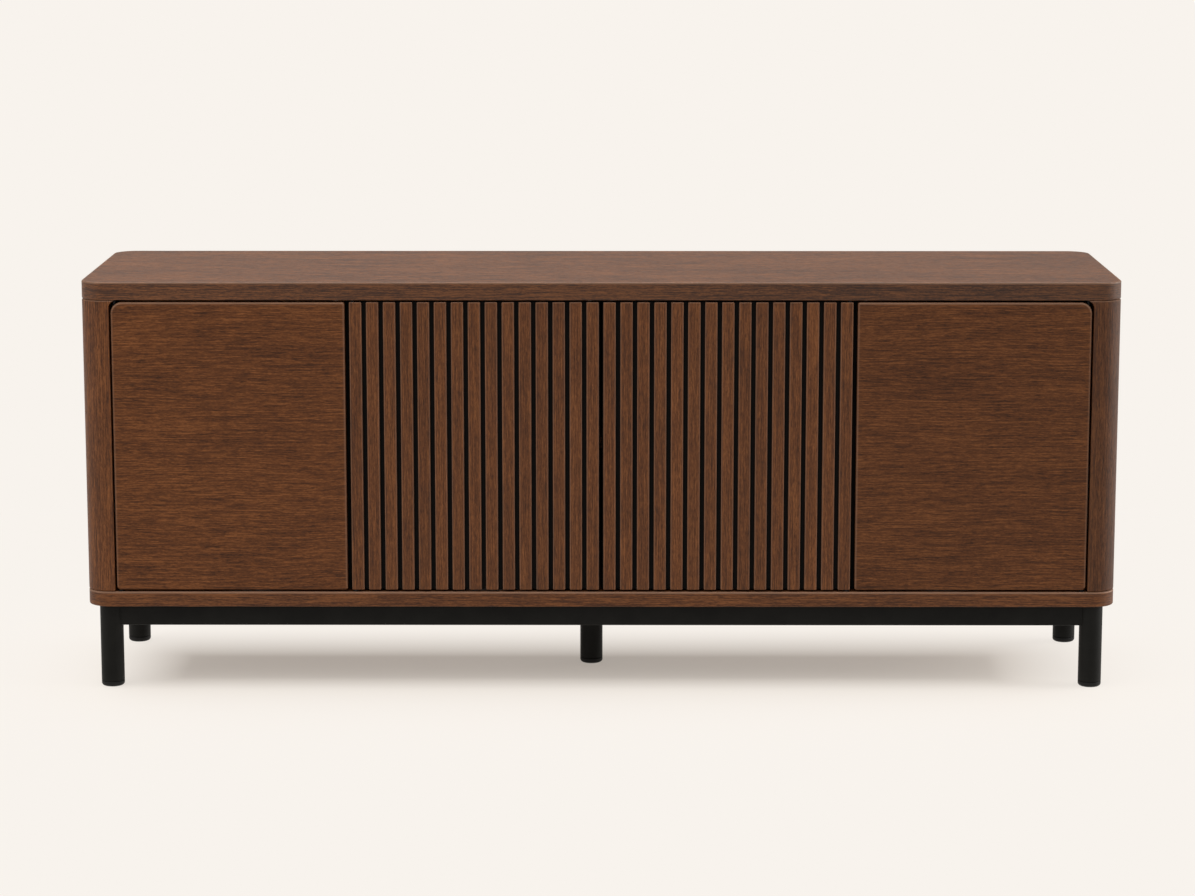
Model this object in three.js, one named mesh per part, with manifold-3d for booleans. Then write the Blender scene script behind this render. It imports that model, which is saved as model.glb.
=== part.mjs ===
// A low media cabinet: a walnut case with two plain doors, two slatted doors and a black
// steel base. Millimetres, +Z up. The doors face -Y, +X is to the right of someone facing
// them, and the origin is on the floor below the middle of the case.
import * as THREE from 'three';
import { mergeVertices } from 'three/addons/utils/BufferGeometryUtils.js';
import Module from 'manifold-3d';

const wasm = await Module();
wasm.setup();

// ---- Driving dimensions ------------------------------------------------------------

// Case
const WIDTH = 1600;
const DEPTH = 420;
const HEIGHT = 640; // floor to the top surface
const CLEARANCE = 132; // floor to the underside of the case
const TOP_THICK = 28;
const BOTTOM_THICK = 24;
const CORNER_RADIUS = 35; // plan radius of the top, the bottom and the corner posts
const POST_SIZE = 45;
const POST_FILLET = 12; // inside corner where a front post meets the top
const SIDE_THICK = 24;
const DIVIDER_THICK = 20;
const BACK_THICK = 8;
const BACK_INSET = 12; // how far the back panels sit in from the rear of the case
const SHELF_THICK = 18;
const SHELF_DEPTH = 320;
const SHELF_UNDERSIDE = 374; // height above the floor
const GROOVE_DEPTH = 6; // the shelf ends are let into the sides and dividers
const EDGE_ROUND = 2;
const POST_CHAMFER = 1.5;
const SEAM = 0.3; // gap between pieces that touch

// Doors
const DOOR_GAP = 3;
const DOOR_RECESS = 0.6; // door faces behind the front of the case
const DOOR_THICK = 22;
const DOOR_EDGE = 1.5;
const DOOR_OUTER_TOP_RADIUS = 17.5;
const DOOR_OUTER_BOTTOM_RADIUS = 5;
const DOOR_INNER_RADIUS = 3;
const SLATS_PER_DOOR = 15;
const SLAT_WIDTH = 19;
const SLAT_GAP = 7;
const SLAT_THICK = 11; // slat and backing sheet together
const BACKING_THICK = 2;
const SLAT_CHAMFER = 1.2;

// Pivots, one pin at the top and one at the bottom of each door
const PIVOT_INSET = 5.5; // axis in from the door's hinged edge and from its face
const PIN_RADIUS = 2.5;
const PIN_BORE_RADIUS = 2.8;
const PIN_IN_PANEL = 10;
const PIN_IN_DOOR_TOP = 19;
const PIN_IN_DOOR_BOTTOM = 14;
const COLLAR_RADIUS = 4.5; // the bottom pin's collar carries the door

// Push latches
const LATCH_WIDTH = 14;
const LATCH_HEIGHT = 16;
const LATCH_LENGTH = 60;
const LATCH_FROM_CENTRE = 10;
const PLUNGER_RADIUS = 4;
const PLUNGER_LENGTH = 36;
const PLUNGER_BORE_DEPTH = 42;
const TIP_RADIUS = 5.5;
const TIP_THICK = 2;
const TIP_STANDOUT = 6.5; // tip in front of the housing at rest
const TIP_GAP = 0.5; // between the tip and the strike plate
const STRIKE_RADIUS = 6;
const STRIKE_THICK = 1.5;

// Cable ports
const PORT_HEIGHT = 230; // centre above the floor
const CENTRE_PORT_X = -190; // behind a door, clear of the gap where the slatted doors meet
const PORT_HOLE_RADIUS = 31;
const GROMMET_BORE_RADIUS = 27;
const GROMMET_SLEEVE_RADIUS = 30.5;
const GROMMET_FLANGE_RADIUS = 36;
const GROMMET_FLANGE_THICK = 2.5;

// Base
const LEG_RADIUS = 18;
const LEG_WALL = 2.5;
const LEG_X = 766;
const FRONT_LEG_Y = -178;
const REAR_LEG_Y = 130;
const MIDDLE_LEG_X = -16;
const MIDDLE_LEG_Y = -20;
const RAIL_HEIGHT = 34;
const RAIL_WIDTH = 20;
const RAIL_WALL = 2;
const GLIDE_HEIGHT = 8;
const GLIDE_EDGE = 5;
const GLIDE_SPIGOT = 20; // length inside the leg

const ROUND_SIDES = 24;
const SMALL_ROUND_SIDES = 16; // pins, plungers and strike plates
const ARC_STEPS = 4; // half the number of facets in a quarter-round

// ---- Worked-out levels -------------------------------------------------------------

const FRONT_Y = -DEPTH / 2;
const BACK_Y = DEPTH / 2;
const INSIDE_BOTTOM = CLEARANCE + BOTTOM_THICK;
const INSIDE_TOP = HEIGHT - TOP_THICK;
const INSIDE_HEIGHT = INSIDE_TOP - INSIDE_BOTTOM;
const POST_INNER_X = WIDTH / 2 - POST_SIZE;
const SIDE_INNER_X = WIDTH / 2 - SIDE_THICK;

const SLAT_PITCH = SLAT_WIDTH + SLAT_GAP;
const SLAT_OUTER_X = SLATS_PER_DOOR * SLAT_PITCH - SLAT_GAP / 2;
const SLAT_INNER_X = SLAT_GAP / 2;
const DIVIDER_X = SLAT_OUTER_X + SLAT_GAP / 2;
const DIVIDER_INNER_X = DIVIDER_X - DIVIDER_THICK / 2;
const DIVIDER_OUTER_X = DIVIDER_X + DIVIDER_THICK / 2;

const DOOR_BOTTOM = INSIDE_BOTTOM + DOOR_GAP;
const DOOR_TOP = INSIDE_TOP - DOOR_GAP;
const DOOR_HEIGHT = DOOR_TOP - DOOR_BOTTOM;
const DOOR_FACE_Y = FRONT_Y + DOOR_RECESS;
const DOOR_BACK_Y = DOOR_FACE_Y + DOOR_THICK;
const DOOR_OUTER_X = POST_INNER_X - DOOR_GAP;
const DOOR_INNER_X = SLAT_OUTER_X + SLAT_GAP;
const DOOR_WIDTH = DOOR_OUTER_X - DOOR_INNER_X;
const PIVOT_Y = DOOR_FACE_Y + PIVOT_INSET;
const PLAIN_PIVOT_X = DOOR_OUTER_X - PIVOT_INSET;
const SLAT_PIVOT_X = SLAT_OUTER_X - PIVOT_INSET;

const BACK_PANEL_FRONT_Y = BACK_Y - BACK_INSET - BACK_THICK;
const RAIL_UNDERSIDE = CLEARANCE - SEAM - RAIL_HEIGHT;

const SIDES = [['left', -1], ['right', 1]];

// ---- Finishes ----------------------------------------------------------------------

const finish = (color, roughness, metalness) =>
  new THREE.MeshStandardMaterial({ color, roughness, metalness });

const walnut = finish(0x5b3a29, 0.5, 0);
const walnutInside = finish(0x4a3024, 0.6, 0);
const blackEnamel = finish(0x1a1a19, 0.55, 0.3);
const blackBoard = finish(0x0e0c0b, 0.9, 0);
const blackSteel = finish(0x2a2a2c, 0.4, 0.9);
const zincSteel = finish(0xa8a9ab, 0.35, 1);
const blackPlastic = finish(0x151515, 0.6, 0);
const greyPlastic = finish(0x6d6e70, 0.55, 0);

// ---- Geometry ----------------------------------------------------------------------

// An outline from right-angled corners [x, y, radius], each one rounded by its radius.
function outline(corners) {
  const shape = new THREE.Shape();
  corners.forEach(([x, y, radius], i) => {
    const corner = new THREE.Vector2(x, y);
    const last = corners[(i + corners.length - 1) % corners.length];
    const next = corners[(i + 1) % corners.length];
    const back = new THREE.Vector2(last[0] - x, last[1] - y).normalize();
    const ahead = new THREE.Vector2(next[0] - x, next[1] - y).normalize();
    const start = corner.clone().addScaledVector(back, radius);
    if (i === 0) shape.moveTo(start.x, start.y);
    else shape.lineTo(start.x, start.y);
    if (radius > 0) {
      const centre = start.clone().addScaledVector(ahead, radius);
      const end = corner.clone().addScaledVector(ahead, radius);
      const from = Math.atan2(start.y - centre.y, start.x - centre.x);
      const to = Math.atan2(end.y - centre.y, end.x - centre.x);
      const clockwise = back.cross(ahead) > 0;
      shape.absarc(centre.x, centre.y, radius, from, to, clockwise);
    }
  });
  shape.closePath();
  return shape;
}

// A rectangle about the origin with the same radius at each corner.
function rectangle(width, height, radius = 0) {
  const x = width / 2;
  const y = height / 2;
  return outline([[x, y, radius], [-x, y, radius], [-x, -y, radius], [x, -y, radius]]);
}

// A slab of the outline from z = 0 up to the thickness, its edges eased by edge.
function slab(shape, thickness, edge = 0, edgeSteps = 2) {
  const geometry = new THREE.ExtrudeGeometry(shape, {
    depth: thickness - 2 * edge,
    curveSegments: ARC_STEPS,
    bevelEnabled: edge > 0,
    bevelThickness: edge,
    bevelSize: edge,
    bevelOffset: -edge,
    bevelSegments: edgeSteps,
  });
  geometry.translate(0, 0, edge);
  return geometry;
}

// A slab stood upright: the outline's y becomes z, and it runs from y = 0 back to the thickness.
function uprightSlab(shape, thickness, edge = 0, edgeSteps = 2) {
  const geometry = slab(shape, thickness, edge, edgeSteps);
  geometry.rotateX(Math.PI / 2);
  geometry.translate(0, thickness, 0);
  return geometry;
}

// A board between two opposite corners.
function board(low, high) {
  const size = high.map((value, i) => value - low[i]);
  const geometry = new THREE.BoxGeometry(...size);
  geometry.translate(...low.map((value, i) => value + size[i] / 2));
  return geometry;
}

// A piece turned about +Z from a profile of [radius, z].
function turned(profile, sides = ROUND_SIDES) {
  const points = profile.map(([radius, z]) => new THREE.Vector2(radius, z));
  const geometry = new THREE.LatheGeometry(points, sides);
  geometry.rotateX(Math.PI / 2);
  return geometry;
}

// A plain round bar along +Z from one height to another.
function bar(radius, x, y, from, to, sides = ROUND_SIDES) {
  const geometry = new THREE.CylinderGeometry(radius, radius, to - from, sides);
  geometry.rotateX(Math.PI / 2);
  geometry.translate(x, y, (from + to) / 2);
  return geometry;
}

function toSolid(geometry) {
  const bare = geometry.clone();
  bare.deleteAttribute('normal');
  bare.deleteAttribute('uv');
  const merged = mergeVertices(bare);
  return new wasm.Manifold(new wasm.Mesh({
    numProp: 3,
    vertProperties: merged.attributes.position.array,
    triVerts: Uint32Array.from(merged.index.array),
  }));
}

function toGeometry(solid) {
  const mesh = solid.getMesh();
  const geometry = new THREE.BufferGeometry();
  geometry.setAttribute('position', new THREE.BufferAttribute(mesh.vertProperties, 3));
  geometry.setIndex(new THREE.BufferAttribute(mesh.triVerts, 1));
  geometry.computeVertexNormals();
  return geometry;
}

function cut(geometry, tools) {
  return toGeometry(tools.reduce((solid, tool) => solid.subtract(toSolid(tool)), toSolid(geometry)));
}

function join(geometry, other) {
  return toGeometry(toSolid(geometry).add(toSolid(other)));
}

// ---- Assembly ----------------------------------------------------------------------

const cabinet = new THREE.Group();
const carcass = new THREE.Group();
const doors = new THREE.Group();
const hardware = new THREE.Group();
const base = new THREE.Group();
cabinet.add(carcass, doors, hardware, base);

function place(group, name, geometry, material, x = 0, y = 0, z = 0) {
  const mesh = new THREE.Mesh(geometry, material);
  mesh.name = name;
  mesh.position.set(x, y, z);
  group.add(mesh);
  return mesh;
}

// ---- Top and bottom panels, drilled for the door pivots ----------------------------

const pivotXs = [-PLAIN_PIVOT_X, -SLAT_PIVOT_X, SLAT_PIVOT_X, PLAIN_PIVOT_X];

function pivotBores(from, to) {
  return pivotXs.map((x) => bar(PIN_BORE_RADIUS, x, PIVOT_Y, from, to, SMALL_ROUND_SIDES));
}

const plan = rectangle(WIDTH, DEPTH, CORNER_RADIUS);
const boreDepth = PIN_IN_PANEL + 1;
place(carcass, 'top_panel', cut(slab(plan, TOP_THICK, EDGE_ROUND), pivotBores(-1, boreDepth)),
  walnut, 0, 0, INSIDE_TOP);
place(carcass, 'bottom_panel', cut(slab(plan, BOTTOM_THICK, EDGE_ROUND),
  pivotBores(BOTTOM_THICK - boreDepth, BOTTOM_THICK + 1)), walnut, 0, 0, CLEARANCE);

// ---- Corner posts, rounded on their outer corner -----------------------------------

const postHeight = INSIDE_HEIGHT - 2 * SEAM;

function cornerPost(sideX, sideY) {
  const x = sideX * POST_SIZE / 2;
  const y = sideY * POST_SIZE / 2;
  const section = outline([[x, y, CORNER_RADIUS], [-x, y, 0], [-x, -y, 0], [x, -y, 0]]);
  return slab(section, postHeight, POST_CHAMFER, 1);
}

// The hollow fillet at the head of a front post, under the top panel. It laps into the post
// by one millimetre so that the two join.
function headFillet(sideX) {
  const inward = -sideX;
  const shape = new THREE.Shape();
  shape.moveTo(-inward, 0);
  shape.lineTo(inward * POST_FILLET, 0);
  shape.absarc(inward * POST_FILLET, -POST_FILLET, POST_FILLET,
    Math.PI / 2, inward > 0 ? Math.PI : 0, inward < 0);
  shape.lineTo(-inward, -POST_FILLET);
  shape.closePath();
  const geometry = uprightSlab(shape, POST_SIZE);
  geometry.translate(inward * POST_SIZE / 2, -POST_SIZE / 2, postHeight);
  return geometry;
}

SIDES.forEach(([side, sign]) => {
  const postX = sign * (WIDTH - POST_SIZE) / 2;
  const frontY = FRONT_Y + POST_SIZE / 2;
  const pivotHole = bar(PIN_BORE_RADIUS, sign * PLAIN_PIVOT_X - postX, PIVOT_Y - frontY,
    postHeight - POST_FILLET, postHeight + 1, SMALL_ROUND_SIDES);
  const frontPost = cut(join(cornerPost(sign, -1), headFillet(sign)), [pivotHole]);
  place(carcass, `front_post_${side}`, frontPost, walnut, postX, frontY, INSIDE_BOTTOM + SEAM);
  place(carcass, `rear_post_${side}`, cornerPost(sign, 1), walnut,
    postX, -frontY, INSIDE_BOTTOM + SEAM);
});

// ---- Sides and dividers, grooved for the shelves -----------------------------------

const insideLow = INSIDE_BOTTOM + SEAM;
const insideHigh = INSIDE_TOP - SEAM;
const shelfFrontY = -SHELF_DEPTH / 2;
const shelfBackY = SHELF_DEPTH / 2;

// A shelf groove between two x positions.
function groove(fromX, toX) {
  return board(
    [Math.min(fromX, toX), shelfFrontY - SEAM, SHELF_UNDERSIDE - SEAM],
    [Math.max(fromX, toX), shelfBackY + SEAM, SHELF_UNDERSIDE + SHELF_THICK + SEAM],
  );
}

SIDES.forEach(([side, sign]) => {
  const spanX = [sign * WIDTH / 2, sign * SIDE_INNER_X].sort((a, b) => a - b);
  const endY = DEPTH / 2 - POST_SIZE - SEAM;
  const panel = board([spanX[0], -endY, insideLow], [spanX[1], endY, insideHigh]);
  const panelGroove = groove(sign * (SIDE_INNER_X - 1), sign * (SIDE_INNER_X + GROOVE_DEPTH));
  place(carcass, `side_panel_${side}`, cut(panel, [panelGroove]), walnut);
});

SIDES.forEach(([side, sign]) => {
  const divider = board(
    [sign * DIVIDER_X - DIVIDER_THICK / 2, DOOR_BACK_Y + 1, insideLow],
    [sign * DIVIDER_X + DIVIDER_THICK / 2, BACK_PANEL_FRONT_Y - SEAM, insideHigh],
  );
  const outerGroove = groove(sign * (DIVIDER_OUTER_X + 1), sign * (DIVIDER_OUTER_X - GROOVE_DEPTH));
  const innerGroove = groove(sign * (DIVIDER_INNER_X - 1), sign * (DIVIDER_INNER_X + GROOVE_DEPTH));
  place(carcass, `divider_${side}`, cut(divider, [outerGroove, innerGroove]), walnutInside);
});

// ---- Shelves -----------------------------------------------------------------------

const housed = GROOVE_DEPTH - SEAM;

function shelf(fromX, toX) {
  return board([fromX - housed, shelfFrontY, SHELF_UNDERSIDE],
    [toX + housed, shelfBackY, SHELF_UNDERSIDE + SHELF_THICK]);
}

place(carcass, 'shelf_left', shelf(-SIDE_INNER_X, -DIVIDER_OUTER_X), walnutInside);
place(carcass, 'shelf_centre', shelf(-DIVIDER_INNER_X, DIVIDER_INNER_X), walnutInside);
place(carcass, 'shelf_right', shelf(DIVIDER_OUTER_X, SIDE_INNER_X), walnutInside);

// ---- Back panels with a cable port and its grommet ---------------------------------

const sideBayX = (POST_INNER_X + DIVIDER_X) / 2;
const backPanels = [
  ['left', -POST_INNER_X, -DIVIDER_X, -sideBayX],
  ['centre', -DIVIDER_X, DIVIDER_X, CENTRE_PORT_X],
  ['right', DIVIDER_X, POST_INNER_X, sideBayX],
];

const grommetProfile = [
  [GROMMET_BORE_RADIUS, 0],
  [GROMMET_FLANGE_RADIUS - 1, 0],
  [GROMMET_FLANGE_RADIUS, 1],
  [GROMMET_FLANGE_RADIUS, GROMMET_FLANGE_THICK],
  [GROMMET_SLEEVE_RADIUS, GROMMET_FLANGE_THICK],
  [GROMMET_SLEEVE_RADIUS, GROMMET_FLANGE_THICK + BACK_THICK],
  [GROMMET_BORE_RADIUS, GROMMET_FLANGE_THICK + BACK_THICK],
  [GROMMET_BORE_RADIUS, 0],
];
const grommetFaceY = BACK_Y - BACK_INSET + SEAM + GROMMET_FLANGE_THICK;

backPanels.forEach(([bay, fromX, toX, portX]) => {
  const panel = board([fromX + SEAM, BACK_PANEL_FRONT_Y, insideLow],
    [toX - SEAM, BACK_PANEL_FRONT_Y + BACK_THICK, insideHigh]);
  const hole = bar(PORT_HOLE_RADIUS, 0, 0, -BACK_THICK, BACK_THICK);
  hole.rotateX(Math.PI / 2);
  hole.translate(portX, BACK_PANEL_FRONT_Y + BACK_THICK / 2, PORT_HEIGHT);
  place(carcass, `back_panel_${bay}`, cut(panel, [hole]), blackBoard);
  const grommet = place(hardware, `cable_grommet_${bay}`, turned(grommetProfile), blackPlastic,
    portX, grommetFaceY, PORT_HEIGHT);
  grommet.rotation.x = Math.PI / 2;
});

// ---- Plain doors -------------------------------------------------------------------

// Bores up and down into a door at its pivot axis, measured from the door's own middle.
function doorBores(x, y) {
  const half = DOOR_HEIGHT / 2;
  return [
    bar(PIN_BORE_RADIUS, x, y, half - PIN_IN_DOOR_TOP - 1, half + 1, SMALL_ROUND_SIDES),
    bar(PIN_BORE_RADIUS, x, y, -half - 1, PIN_IN_DOOR_BOTTOM + 1 - half, SMALL_ROUND_SIDES),
  ];
}

const doorMiddle = (DOOR_BOTTOM + DOOR_TOP) / 2;

SIDES.forEach(([side, sign]) => {
  const outer = sign * DOOR_WIDTH / 2;
  const half = DOOR_HEIGHT / 2;
  const shape = outline([
    [outer, half, DOOR_OUTER_TOP_RADIUS],
    [-outer, half, DOOR_INNER_RADIUS],
    [-outer, -half, DOOR_INNER_RADIUS],
    [outer, -half, DOOR_OUTER_BOTTOM_RADIUS],
  ]);
  const bores = doorBores(outer - sign * PIVOT_INSET, PIVOT_INSET);
  place(doors, `plain_door_${side}`, cut(uprightSlab(shape, DOOR_THICK, DOOR_EDGE), bores), walnut,
    sign * (DOOR_OUTER_X + DOOR_INNER_X) / 2, DOOR_FACE_Y, doorMiddle);
});

// ---- Slatted doors: slats on a thin backing sheet, glued to a black board ----------

// Plan section of the slats and their backing sheet, from y = 0 at the slat faces.
function slatSection() {
  const half = (SLAT_OUTER_X - SLAT_INNER_X) / 2;
  const groovesY = SLAT_THICK - BACKING_THICK;
  const shape = new THREE.Shape();
  shape.moveTo(half, SLAT_THICK);
  shape.lineTo(-half, SLAT_THICK);
  for (let i = 0; i < SLATS_PER_DOOR; i += 1) {
    const left = -half + i * SLAT_PITCH;
    const right = left + SLAT_WIDTH;
    if (i > 0) shape.lineTo(left, groovesY);
    shape.lineTo(left, SLAT_CHAMFER);
    shape.lineTo(left + SLAT_CHAMFER, 0);
    shape.lineTo(right - SLAT_CHAMFER, 0);
    shape.lineTo(right, SLAT_CHAMFER);
    if (i < SLATS_PER_DOOR - 1) shape.lineTo(right, groovesY);
  }
  shape.closePath();
  return shape;
}

const boardInnerX = DOOR_GAP / 2;
const slatBoardFrontY = SLAT_THICK + SEAM;

SIDES.forEach(([side, sign]) => {
  const slatRow = slab(slatSection(), DOOR_HEIGHT);
  slatRow.translate(0, 0, -DOOR_HEIGHT / 2);
  const slatMiddle = (SLAT_OUTER_X + SLAT_INNER_X) / 2;
  const bores = doorBores(sign * (SLAT_PIVOT_X - slatMiddle), PIVOT_INSET);
  place(doors, `slat_panel_${side}`, cut(slatRow, bores), walnut,
    sign * slatMiddle, DOOR_FACE_Y, doorMiddle);
  const spanX = [sign * SLAT_OUTER_X, sign * boardInnerX].sort((a, b) => a - b);
  place(doors, `slat_door_board_${side}`, board(
    [spanX[0], DOOR_FACE_Y + slatBoardFrontY, DOOR_BOTTOM],
    [spanX[1], DOOR_BACK_Y, DOOR_TOP],
  ), blackBoard);
});

// ---- Pivot pins --------------------------------------------------------------------

const topPinProfile = [
  [0, 0],
  [PIN_RADIUS - 0.5, 0],
  [PIN_RADIUS, 0.5],
  [PIN_RADIUS, PIN_IN_DOOR_TOP + DOOR_GAP + PIN_IN_PANEL],
  [0, PIN_IN_DOOR_TOP + DOOR_GAP + PIN_IN_PANEL],
];
const collarLow = PIN_IN_PANEL + SEAM;
const collarHigh = PIN_IN_PANEL + DOOR_GAP - SEAM;
const bottomPinTop = PIN_IN_PANEL + DOOR_GAP + PIN_IN_DOOR_BOTTOM;
const bottomPinProfile = [
  [0, 0],
  [PIN_RADIUS, 0],
  [PIN_RADIUS, collarLow],
  [COLLAR_RADIUS, collarLow],
  [COLLAR_RADIUS, collarHigh],
  [PIN_RADIUS, collarHigh],
  [PIN_RADIUS, bottomPinTop - 0.5],
  [PIN_RADIUS - 0.5, bottomPinTop],
  [0, bottomPinTop],
];

SIDES.forEach(([side, sign]) => {
  [['plain', PLAIN_PIVOT_X], ['slat', SLAT_PIVOT_X]].forEach(([door, x]) => {
    place(hardware, `${door}_door_pin_top_${side}`, turned(topPinProfile, SMALL_ROUND_SIDES),
      blackSteel, sign * x, PIVOT_Y, DOOR_TOP - PIN_IN_DOOR_TOP);
    place(hardware, `${door}_door_pin_bottom_${side}`, turned(bottomPinProfile, SMALL_ROUND_SIDES),
      blackSteel, sign * x, PIVOT_Y, INSIDE_BOTTOM - PIN_IN_PANEL);
  });
});

// ---- Push latches under the top panel, one behind each door's free edge ------------

const strikeFaceY = DOOR_BACK_Y + SEAM + STRIKE_THICK;
const tipY = strikeFaceY + TIP_GAP;
const latchFrontY = tipY + TIP_STANDOUT;
const latchZ = INSIDE_TOP - SEAM - LATCH_HEIGHT / 2;

const plungerProfile = [
  [0, 0],
  [PLUNGER_RADIUS, 0],
  [PLUNGER_RADIUS, PLUNGER_LENGTH - TIP_THICK],
  [TIP_RADIUS, PLUNGER_LENGTH - TIP_THICK],
  [TIP_RADIUS, PLUNGER_LENGTH - 0.6],
  [TIP_RADIUS - 0.6, PLUNGER_LENGTH],
  [0, PLUNGER_LENGTH],
];
const strikeProfile = [
  [0, 0],
  [STRIKE_RADIUS, 0],
  [STRIKE_RADIUS, STRIKE_THICK - 0.4],
  [STRIKE_RADIUS - 0.4, STRIKE_THICK],
  [0, STRIKE_THICK],
];

function latchHousing() {
  const geometry = uprightSlab(rectangle(LATCH_WIDTH, LATCH_HEIGHT, 2), LATCH_LENGTH);
  const bore = bar(PLUNGER_RADIUS + SEAM, 0, 0, -PLUNGER_BORE_DEPTH, 1, SMALL_ROUND_SIDES);
  bore.rotateX(Math.PI / 2);
  return cut(geometry, [bore]);
}

SIDES.forEach(([side, sign]) => {
  const plainX = DIVIDER_OUTER_X + SEAM + LATCH_WIDTH / 2;
  const slatX = LATCH_FROM_CENTRE + LATCH_WIDTH / 2;
  [['plain', plainX], ['slat', slatX]].forEach(([door, x]) => {
    place(hardware, `${door}_latch_housing_${side}`, latchHousing(), greyPlastic,
      sign * x, latchFrontY, latchZ);
    const plunger = place(hardware, `${door}_latch_plunger_${side}`,
      turned(plungerProfile, SMALL_ROUND_SIDES), blackPlastic,
      sign * x, tipY + PLUNGER_LENGTH, latchZ);
    plunger.rotation.x = Math.PI / 2;
    const strike = place(hardware, `${door}_door_strike_${side}`,
      turned(strikeProfile, SMALL_ROUND_SIDES), zincSteel, sign * x, DOOR_BACK_Y + SEAM, latchZ);
    strike.rotation.x = -Math.PI / 2;
  });
});

// ---- Legs, each a tube closed at its head, with a glide pressed into its foot ------

function leg(height) {
  const bore = LEG_RADIUS - LEG_WALL;
  return turned([
    [0, height - LEG_WALL],
    [bore, height - LEG_WALL],
    [bore, 0],
    [LEG_RADIUS, 0],
    [LEG_RADIUS, height],
    [0, height],
  ]);
}

const glideProfile = [[0, 0]];
for (let i = 0; i <= 4; i += 1) {
  const angle = (i / 4) * Math.PI / 2;
  glideProfile.push([
    LEG_RADIUS - GLIDE_EDGE + GLIDE_EDGE * Math.sin(angle),
    GLIDE_EDGE - GLIDE_EDGE * Math.cos(angle),
  ]);
}
const spigotRadius = LEG_RADIUS - LEG_WALL - SEAM;
glideProfile.push(
  [LEG_RADIUS, GLIDE_HEIGHT],
  [spigotRadius, GLIDE_HEIGHT],
  [spigotRadius, GLIDE_HEIGHT + GLIDE_SPIGOT - 1],
  [spigotRadius - 1, GLIDE_HEIGHT + GLIDE_SPIGOT],
  [0, GLIDE_HEIGHT + GLIDE_SPIGOT],
);

const legFoot = GLIDE_HEIGHT + SEAM;
const cornerLegHeight = CLEARANCE - SEAM - legFoot;
const middleLegHeight = RAIL_UNDERSIDE - SEAM - legFoot;
const legs = [
  ['front_leg_left', -LEG_X, FRONT_LEG_Y, cornerLegHeight],
  ['front_leg_right', LEG_X, FRONT_LEG_Y, cornerLegHeight],
  ['rear_leg_left', -LEG_X, REAR_LEG_Y, cornerLegHeight],
  ['rear_leg_right', LEG_X, REAR_LEG_Y, cornerLegHeight],
  ['middle_leg', MIDDLE_LEG_X, MIDDLE_LEG_Y, middleLegHeight],
];
legs.forEach(([name, x, y, height]) => {
  place(base, name, leg(height), blackEnamel, x, y, legFoot);
  place(base, name.replace('leg', 'glide'), turned(glideProfile), blackPlastic, x, y, 0);
});

// ---- Rails: rectangular tube, their ends coped to the round legs -------------------

// A tube lying along +X about its own middle.
function railTube(length) {
  const section = rectangle(RAIL_HEIGHT, RAIL_WIDTH);
  const inside = rectangle(RAIL_HEIGHT - 2 * RAIL_WALL, RAIL_WIDTH - 2 * RAIL_WALL);
  section.holes.push(inside);
  const geometry = slab(section, length);
  geometry.rotateY(Math.PI / 2);
  geometry.translate(-length / 2, 0, 0);
  return geometry;
}

// A rail between two legs whose axes are a span apart.
function copedRail(span) {
  const reach = LEG_RADIUS * 0.8;
  const tools = [-span / 2, span / 2].map((x) =>
    bar(LEG_RADIUS + SEAM, x, 0, -RAIL_HEIGHT, RAIL_HEIGHT));
  return cut(railTube(span - 2 * reach), tools);
}

const railZ = RAIL_UNDERSIDE + RAIL_HEIGHT / 2;
place(base, 'front_rail', copedRail(2 * LEG_X), blackEnamel, 0, FRONT_LEG_Y, railZ);
place(base, 'rear_rail', copedRail(2 * LEG_X), blackEnamel, 0, REAR_LEG_Y, railZ);

const legsMiddleY = (FRONT_LEG_Y + REAR_LEG_Y) / 2;
SIDES.forEach(([side, sign]) => {
  const rail = place(base, `side_rail_${side}`, copedRail(REAR_LEG_Y - FRONT_LEG_Y), blackEnamel,
    sign * LEG_X, legsMiddleY, railZ);
  rail.rotation.z = Math.PI / 2;
});

const crossLength = REAR_LEG_Y - FRONT_LEG_Y - RAIL_WIDTH - 2 * SEAM;
const crossRail = place(base, 'cross_rail', railTube(crossLength), blackEnamel,
  MIDDLE_LEG_X, legsMiddleY, railZ);
crossRail.rotation.z = Math.PI / 2;

export default cabinet;
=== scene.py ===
"""A low walnut media cabinet with plain and slatted doors on a black steel base, built round
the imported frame. Metres, +Z up, doors facing -Y."""

import bpy
import numpy as np
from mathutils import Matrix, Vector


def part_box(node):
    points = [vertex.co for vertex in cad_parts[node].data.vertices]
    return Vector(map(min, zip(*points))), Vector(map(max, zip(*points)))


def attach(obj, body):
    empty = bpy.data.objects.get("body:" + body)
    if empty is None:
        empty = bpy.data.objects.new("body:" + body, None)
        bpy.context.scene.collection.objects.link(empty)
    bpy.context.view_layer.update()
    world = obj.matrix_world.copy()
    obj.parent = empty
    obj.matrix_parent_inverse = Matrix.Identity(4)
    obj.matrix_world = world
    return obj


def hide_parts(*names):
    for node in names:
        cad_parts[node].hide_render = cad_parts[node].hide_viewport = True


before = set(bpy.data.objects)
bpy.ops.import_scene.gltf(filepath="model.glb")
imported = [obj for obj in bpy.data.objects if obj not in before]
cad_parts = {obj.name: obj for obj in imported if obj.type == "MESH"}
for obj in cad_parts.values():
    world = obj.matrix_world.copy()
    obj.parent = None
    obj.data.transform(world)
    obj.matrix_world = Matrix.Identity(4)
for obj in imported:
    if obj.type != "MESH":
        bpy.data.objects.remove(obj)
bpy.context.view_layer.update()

# ---- Top panel -----------------------------------------------------------------------
# One veneered board with its corners rounded in plan. The long edges are eased by hand and
# the veneer's grain runs the length of the board and on round its edge band.

EASE = 0.0022
SUPPORT = 0.0012
SHARPEST = 0.00005
BAND_FINENESS = 1.7


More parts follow.
